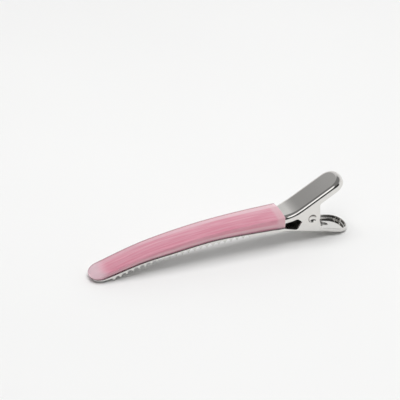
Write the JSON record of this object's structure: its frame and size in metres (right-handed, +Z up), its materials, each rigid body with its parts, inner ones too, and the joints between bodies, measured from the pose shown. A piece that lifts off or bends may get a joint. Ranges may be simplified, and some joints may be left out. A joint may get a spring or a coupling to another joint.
{
  "type": "hair sectioning clip",
  "caption": "Long curved salon sectioning clip: pressed steel plates on a sprung pivot, toothed lower jaw and a soft sleeve over the upper jaw.",
  "frame": {"origin": "on the ground under the middle of the clip's length and width, with the clip lying on its pan's end and its last teeth", "axes": "+X along the clip towards the jaw's tip, +Y across the clip along the pivot, +Z up"},
  "size_m": [0.1098, 0.0124, 0.025],
  "materials": {
    "bright_steel": "bright",
    "pressed_steel": "bright",
    "spring_wire": "drawn",
    "pink_vinyl": "glossy, slightly translucent"
  },
  "bodies": {
    "lower_half": {"lower_plate": "pressed_steel", "torsion_spring": "spring_wire"},
    "upper_half": {"upper_plate": "bright_steel", "jaw_sleeve": "pink_vinyl"}
  },
  "joints": [
    {"name": "jaw_hinge", "type": "hinge", "parent": "lower_half", "child": "upper_half", "pos_m": [-0.03752, 0, 0.01051], "axis": [0, -1, 0], "range_deg": [0, 30], "stiffness_Nm_per_rad": 0.1, "springref_deg": -22.92, "deforming": ["torsion_spring"]}
  ]
}
